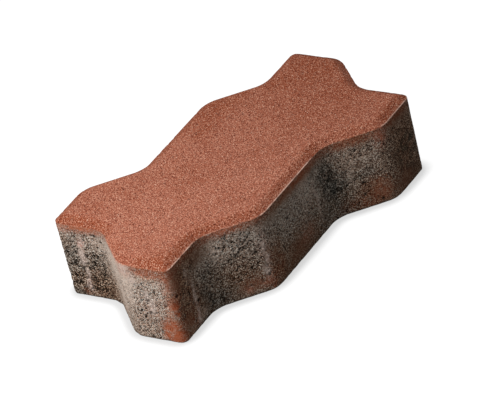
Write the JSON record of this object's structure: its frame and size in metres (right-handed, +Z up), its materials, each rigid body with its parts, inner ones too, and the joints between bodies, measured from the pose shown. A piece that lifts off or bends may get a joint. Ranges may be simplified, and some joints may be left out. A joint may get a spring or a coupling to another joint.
{
  "type": "concrete paving stone",
  "caption": "Interlocking concrete paving stone with wave-shaped sides, a chamfered red wearing face and a flat grey bedding face.",
  "frame": {"origin": "middle of the bedding face, under the middle of the stone", "axes": "+X along the stone's length, +Y across its width, +Z up from the bedding face to the wearing face"},
  "size_m": [0.2404, 0.1278, 0.06],
  "materials": {
    "red_faced_concrete": "matte"
  },
  "bodies": {
    "root": {"paving_stone": "red_faced_concrete"}
  },
  "joints": []
}
